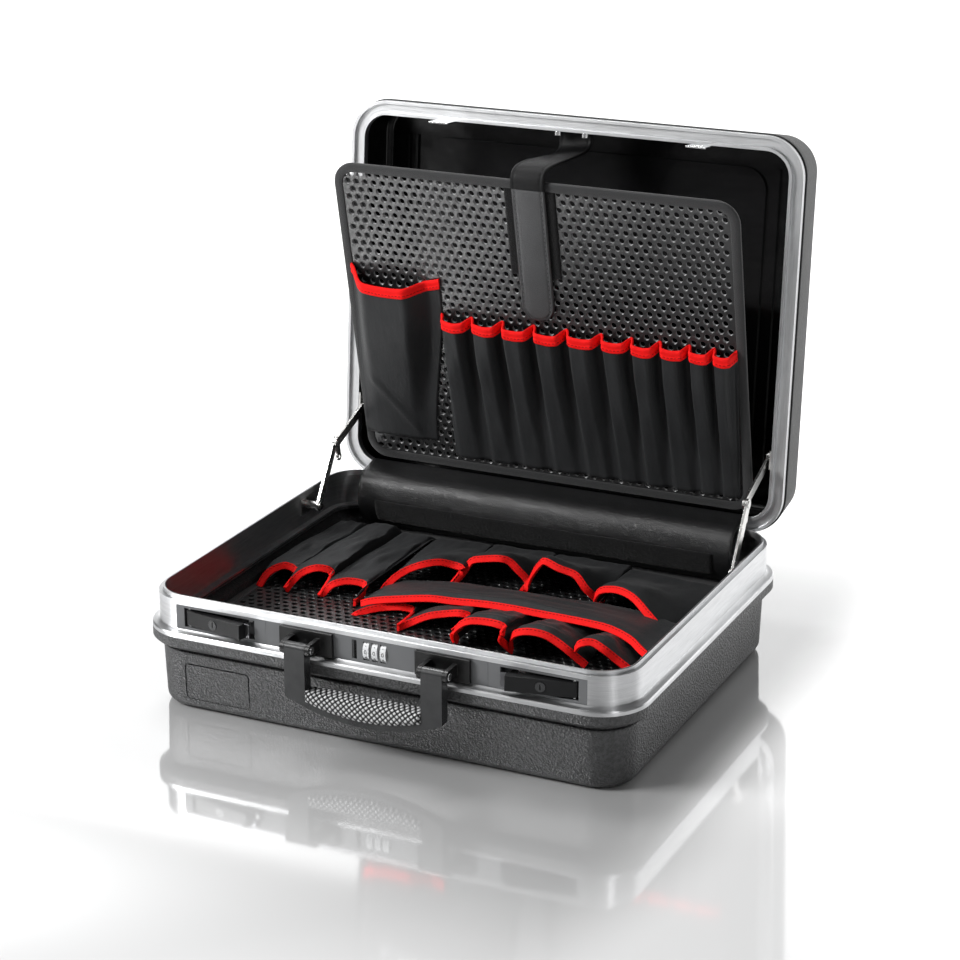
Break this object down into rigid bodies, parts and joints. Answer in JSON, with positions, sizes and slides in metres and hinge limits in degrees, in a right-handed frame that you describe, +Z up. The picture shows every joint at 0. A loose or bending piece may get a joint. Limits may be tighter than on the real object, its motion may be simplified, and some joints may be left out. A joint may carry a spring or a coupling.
{
  "type": "hard tool case",
  "caption": "Hard tool case with an aluminium frame, hinged lid on folding stays, lever latches, number lock, folding handle and two removable boards with tool pockets.",
  "frame": {"origin": "middle of the case's underside, on the floor", "axes": "+X to the right seen from the front, +Y towards the hinge, +Z up"},
  "size_m": [0.48, 0.5066, 0.4787],
  "materials": {
    "shell_abs": "fine moulded texture, satin",
    "aluminium": "lengthwise brushed, satin",
    "plate_plastic": "dark grey satin",
    "black_plastic": "fine texture",
    "grip_plastic": "diamond texture",
    "dial_plastic": "satin, plain number faces",
    "steel": "zinc plated",
    "barrel_black": "black, satin",
    "vinyl": "fine grain, satin",
    "loop_fabric": "hook and loop pile",
    "board": "perforated in a close hexagonal pattern",
    "pocket_vinyl": "fine grain with a red bound mouth"
  },
  "bodies": {
    "base": {"base_shell": "shell_abs", "base_frame": "aluminium", "left_latch_housing": "plate_plastic", "right_latch_housing": "plate_plastic", "left_handle_bracket": "plate_plastic", "right_handle_bracket": "plate_plastic", "lock_plate": "plate_plastic", "dial_shaft": "steel", "handle_pins": "steel", "latch_pins": "steel", "base_hinge_leaf": "steel", "hinge_pin": "steel", "hinge_rivets": "steel", "left_stay_foot": "steel", "right_stay_foot": "steel", "rear_flap": "vinyl", "flap_strip": "loop_fabric"},
    "lid": {"lid_shell": "shell_abs", "lid_frame": "aluminium", "lid_hinge_leaf": "steel", "lid_strikers": "aluminium", "strap_rivets": "steel", "left_stay_head": "steel", "right_stay_head": "steel", "strap_loop": "vinyl"},
    "lid_board_body": {"lid_board": "board", "lid_large_pocket": "pocket_vinyl", "lid_narrow_pockets": "pocket_vinyl", "strap": "vinyl", "hook_band": "loop_fabric"},
    "base_board_body": {"base_board": "board", "sleeve_pockets": "pocket_vinyl", "front_row_pockets": "pocket_vinyl", "wide_pocket": "pocket_vinyl", "rear_row_pockets": "pocket_vinyl"},
    "left_lower_stay": {"left_lower_link": "steel"},
    "right_lower_stay": {"right_lower_link": "steel"},
    "left_upper_stay": {"left_upper_link": "steel"},
    "right_upper_stay": {"right_upper_link": "steel"},
    "left_latch": {"left_latch_lever": "black_plastic", "left_latch_hook": "steel"},
    "right_latch": {"right_latch_lever": "black_plastic", "right_latch_hook": "steel"},
    "left_key": {"left_key_barrel": "barrel_black"},
    "right_key": {"right_key_barrel": "barrel_black"},
    "dial_1_body": {"dial_1": "dial_plastic"},
    "dial_2_body": {"dial_2": "dial_plastic"},
    "dial_3_body": {"dial_3": "dial_plastic"},
    "slider_body": {"lock_slider": "black_plastic"},
    "handle_body": {"handle": "black_plastic", "handle_grip": "grip_plastic"}
  },
  "joints": [
    {"name": "lid_hinge", "type": "hinge", "parent": "base", "child": "lid", "pos_m": [0, 0.18935, 0.1017], "axis": [-1, 0, 0], "range_deg": [-95, 0], "deforming": ["rear_flap", "flap_strip"]},
    {"name": "left_stay_lower", "type": "hinge", "parent": "base", "child": "left_lower_stay", "pos_m": [-0.2169, 0.1094, 0.0938], "axis": [-1, 0, 0], "range_deg": [-111.99, 0]},
    {"name": "right_stay_lower", "type": "hinge", "parent": "base", "child": "right_lower_stay", "pos_m": [0.2169, 0.1094, 0.0938], "axis": [-1, 0, 0], "range_deg": [-111.99, 0]},
    {"name": "left_stay_upper", "type": "hinge", "parent": "lid", "child": "left_upper_stay", "pos_m": [-0.21425, 0.21266, 0.17419], "axis": [1, 0, 0], "range_deg": [-105.24, 0]},
    {"name": "right_stay_upper", "type": "hinge", "parent": "lid", "child": "right_upper_stay", "pos_m": [0.21425, 0.21266, 0.17419], "axis": [1, 0, 0], "range_deg": [-105.24, 0]},
    {"name": "lid_board_tilt", "type": "hinge", "parent": "lid", "child": "lid_board_body", "pos_m": [0, 0.19808, 0.12237], "axis": [1, 0, 0], "range_deg": [-17, 0], "deforming": ["strap_loop"]},
    {"name": "base_board_lift", "type": "hinge", "parent": "base", "child": "base_board_body", "pos_m": [0, 0.1764, 0.051], "axis": [-1, 0, 0], "range_deg": [0, 16]},
    {"name": "left_latch", "type": "hinge", "parent": "base", "child": "left_latch", "pos_m": [-0.186, -0.1855, 0.0911], "axis": [0, 0, -1], "range_deg": [-11, 24]},
    {"name": "right_latch", "type": "hinge", "parent": "base", "child": "right_latch", "pos_m": [0.186, -0.1855, 0.0911], "axis": [0, 0, 1], "range_deg": [-11, 24]},
    {"name": "left_key_turn", "type": "hinge", "parent": "left_latch", "child": "left_key", "pos_m": [-0.15755, -0.19103, 0.0911], "axis": [-0.1908, -0.9816, 0], "range_deg": [0, 90]},
    {"name": "right_key_turn", "type": "hinge", "parent": "right_latch", "child": "right_key", "pos_m": [0.15755, -0.19103, 0.0911], "axis": [0.1908, -0.9816, 0], "range_deg": [0, 90]},
    {"name": "dial_1_spin", "type": "hinge", "parent": "base", "child": "dial_1_body", "pos_m": [-0.0083, -0.1799, 0.0911], "axis": [1, 0, 0], "continuous": true},
    {"name": "dial_2_spin", "type": "hinge", "parent": "base", "child": "dial_2_body", "pos_m": [0, -0.1799, 0.0911], "axis": [1, 0, 0], "continuous": true},
    {"name": "dial_3_spin", "type": "hinge", "parent": "base", "child": "dial_3_body", "pos_m": [0.0083, -0.1799, 0.0911], "axis": [1, 0, 0], "continuous": true},
    {"name": "lock_slide", "type": "slide", "parent": "base", "child": "slider_body", "axis": [1, 0, 0], "range_m": [0, 0.002]},
    {"name": "handle_swing", "type": "hinge", "parent": "base", "child": "handle_body", "pos_m": [0, -0.208, 0.0911], "axis": [-1, 0, 0], "range_deg": [0, 95]}
  ],
  "couplings": [
    {"joint": "left_stay_lower", "follows": "lid_hinge", "ratio": 1.1787},
    {"joint": "right_stay_lower", "follows": "lid_hinge", "ratio": 1.1787},
    {"joint": "left_stay_upper", "follows": "lid_hinge", "ratio": 1.1077},
    {"joint": "right_stay_upper", "follows": "lid_hinge", "ratio": 1.1077},
    {"joint": "lid_board_tilt", "follows": "lid_hinge", "ratio": 0.17895}
  ]
}
